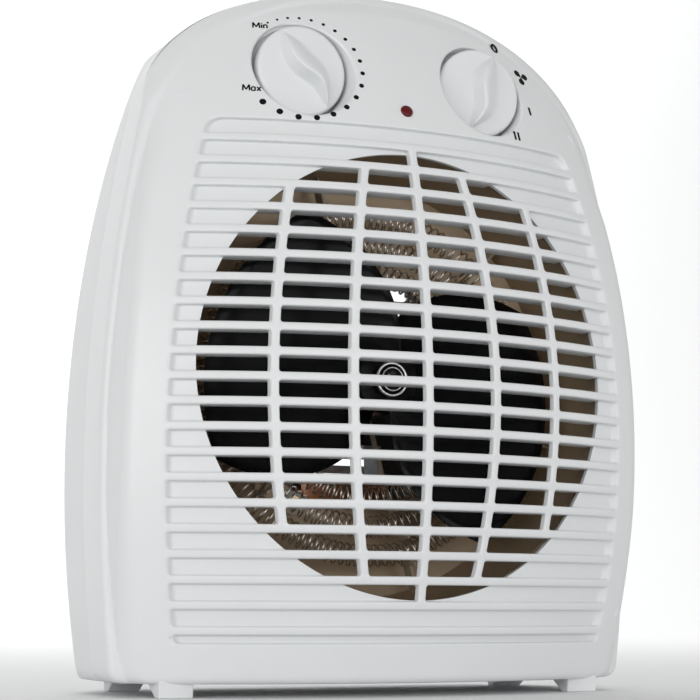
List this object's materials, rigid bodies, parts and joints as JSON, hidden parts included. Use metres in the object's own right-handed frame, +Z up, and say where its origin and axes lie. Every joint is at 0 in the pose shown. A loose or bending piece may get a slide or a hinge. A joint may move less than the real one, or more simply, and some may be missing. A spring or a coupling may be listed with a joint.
{
  "type": "fan convector heater",
  "caption": "Upright electric fan heater with a domed rib grille, axial fan and open coils behind it, a rotary thermostat, a rotary heat switch and a rear carry grip.",
  "frame": {"origin": "on the floor, midway between the sides and midway between the crown of the grille and the back", "axes": "+X to the right seen from the front, +Y from the front to the back, +Z up"},
  "size_m": [0.221, 0.126, 0.2715],
  "materials": {
    "white_abs": "white moulded ABS, satin gloss with a fine even texture",
    "rear_abs": "white moulded ABS, satin",
    "lens_red": "dark red clear moulding, polished",
    "neon_glass": "small clear glass bulb",
    "phenolic_brown": "moulded phenolic",
    "ivory_plastic": "heat-proof thermoplastic",
    "brass_part": "bright stamped brass",
    "bimetal": "rolled strip",
    "zinc_steel": "bright zinc plate",
    "pan_metal": "aluminised sheet with a brown heat tint",
    "mica": "pressed mica board, matt with a slight glitter",
    "resistance_wire": "bright drawn resistance wire, close-wound",
    "steatite": "unglazed white steatite",
    "black_phenolic": "moulded phenolic",
    "lamination": "stacked electrical steel, lightly oiled",
    "copper_winding": "enamelled copper wire",
    "sintered_bronze": "oil-soaked sintered bronze",
    "rotor_alu": "die-cast cage, turned",
    "fibre_washer": "vulcanised fibre",
    "bright_steel": "polished",
    "black_blade": "black heat-proof moulding, glossy",
    "white_nylon": "moulded nylon",
    "silicone_lead": "glass-braided silicone insulation"
  },
  "bodies": {
    "housing": {"front_shell": "white_abs", "rear_shell": "rear_abs", "indicator_lens": "lens_red", "neon_lamp": "neon_glass", "thermostat_body": "phenolic_brown", "thermostat_blade": "bimetal", "switch_body": "ivory_plastic", "control_screws": "zinc_steel", "element_pan": "pan_metal", "pan_screws": "zinc_steel", "mica_vanes": "mica", "heating_coil_outer": "resistance_wire", "heating_coil_middle": "resistance_wire", "heating_coil_inner": "resistance_wire", "ceramic_bushes": "steatite", "terminal_posts": "brass_part", "thermal_cutout": "black_phenolic", "thermal_fuse": "steatite", "motor_bridge": "zinc_steel", "bridge_screws": "zinc_steel", "motor_spacers": "zinc_steel", "front_bracket": "rotor_alu", "rear_bracket": "rotor_alu", "motor_bearings": "sintered_bronze", "motor_stator": "lamination", "motor_winding": "copper_winding", "thrust_washers": "fibre_washer", "motor_screws": "zinc_steel", "terminal_block": "ivory_plastic", "cord_bushing": "white_nylon", "cord_clamp": "white_nylon", "clamp_screws": "zinc_steel", "lead_wires": "silicone_lead", "case_screws": "zinc_steel"},
    "fan": {"fan_impeller": "black_blade", "hub_clip": "bright_steel", "motor_shaft": "bright_steel", "motor_rotor": "rotor_alu"},
    "thermostat_control": {"thermostat_knob": "white_abs", "thermostat_spindle": "brass_part"},
    "switch_control": {"switch_knob": "white_abs", "switch_spindle": "ivory_plastic"}
  },
  "joints": [
    {"name": "fan_spin", "type": "hinge", "parent": "housing", "child": "fan", "pos_m": [0, 0, 0.118], "axis": [0, -1, 0], "continuous": true},
    {"name": "thermostat_turn", "type": "hinge", "parent": "housing", "child": "thermostat_control", "pos_m": [-0.0378, -0.0307, 0.2335], "axis": [0.0174, 0.9985, -0.0523], "range_deg": [0, 290]},
    {"name": "switch_turn", "type": "hinge", "parent": "housing", "child": "switch_control", "pos_m": [0.0378, -0.0307, 0.2335], "axis": [-0.0174, 0.9985, -0.0523], "range_deg": [0, 135]}
  ]
}
